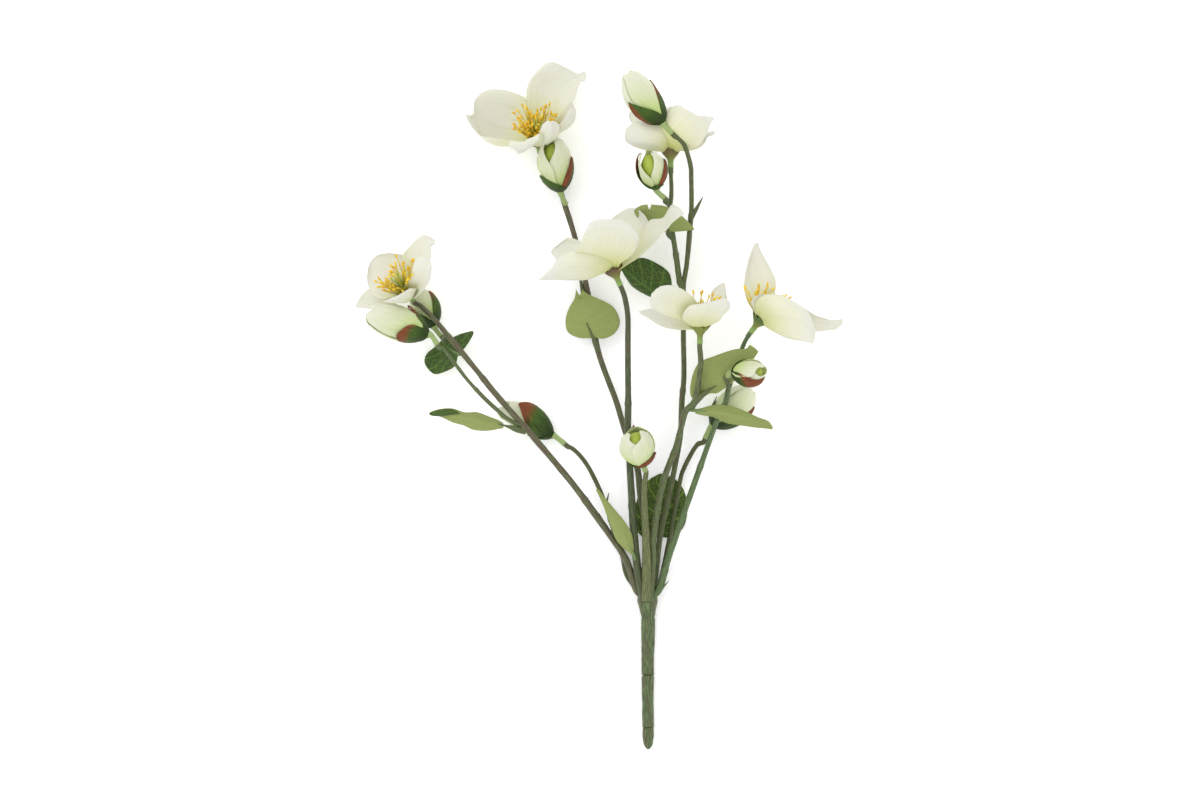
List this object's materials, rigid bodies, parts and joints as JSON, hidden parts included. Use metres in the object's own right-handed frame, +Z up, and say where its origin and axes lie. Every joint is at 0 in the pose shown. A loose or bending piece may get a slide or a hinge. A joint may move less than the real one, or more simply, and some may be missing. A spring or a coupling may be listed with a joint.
{
  "type": "hellebore plant",
  "caption": "Cut spray of white hellebore: branched stems on one trunk, with open cupped flowers, closed buds and small heart-shaped leaves, lying flat.",
  "frame": {"origin": "centre of the bounding box on the surface that the spray lies on", "axes": "+Z up from the surface, +Y from the trunk's foot towards the flowers, +X to the right as seen from above"},
  "size_m": [0.3203, 0.4524, 0.0846],
  "materials": {
    "trunk": "matte moulded green with brown streaks",
    "stem": "satin moulded green with mauve brown streaks",
    "petal": "soft white printed fabric, lime at the base",
    "stamen": "golden yellow moulded, olive filaments",
    "calyx": "olive moulded, brown at the rim",
    "bud_petal": "soft cream fabric, lime towards the base",
    "sepal": "printed green fabric with red brown edges",
    "leaf": "printed fabric, pale matte underside and dark veined upper side"
  },
  "bodies": {
    "root": {"trunk": "trunk", "stem_1": "stem", "stem_2": "stem", "stem_3": "stem", "stem_4": "stem", "stem_5": "stem", "stem_6": "stem", "bud_3_stem": "stem", "bud_5_stem": "stem", "bud_8_stem": "stem", "bud_1_twig": "stem", "bud_2_twig": "stem", "flower_4_twig": "stem", "bud_7_twig": "stem", "bud_9_twig": "stem", "flower_1_petals": "petal", "flower_2_petals": "petal", "flower_3_petals": "petal", "flower_4_petals": "petal", "flower_5_petals": "petal", "flower_6_petals": "petal", "flower_1_stamens": "stamen", "flower_2_stamens": "stamen", "flower_3_stamens": "stamen", "flower_4_stamens": "stamen", "flower_5_stamens": "stamen", "flower_6_stamens": "stamen", "flower_1_calyx": "calyx", "flower_2_calyx": "calyx", "flower_3_calyx": "calyx", "flower_4_calyx": "calyx", "flower_5_calyx": "calyx", "flower_6_calyx": "calyx", "bud_1_petals": "bud_petal", "bud_2_petals": "bud_petal", "bud_3_petals": "bud_petal", "bud_4_petals": "bud_petal", "bud_5_petals": "bud_petal", "bud_6_petals": "bud_petal", "bud_7_petals": "bud_petal", "bud_8_petals": "bud_petal", "bud_9_petals": "bud_petal", "bud_1_sepals": "sepal", "bud_2_sepals": "sepal", "bud_3_sepals": "sepal", "bud_4_sepals": "sepal", "bud_5_sepals": "sepal", "bud_6_sepals": "sepal", "bud_7_sepals": "sepal", "bud_8_sepals": "sepal", "bud_9_sepals": "sepal", "leaf_1": "leaf", "leaf_2": "leaf", "leaf_3": "leaf", "leaf_4": "leaf", "leaf_5": "leaf", "leaf_6": "leaf", "leaf_7": "leaf", "leaf_8": "leaf", "leaf_9": "leaf"}
  },
  "joints": []
}
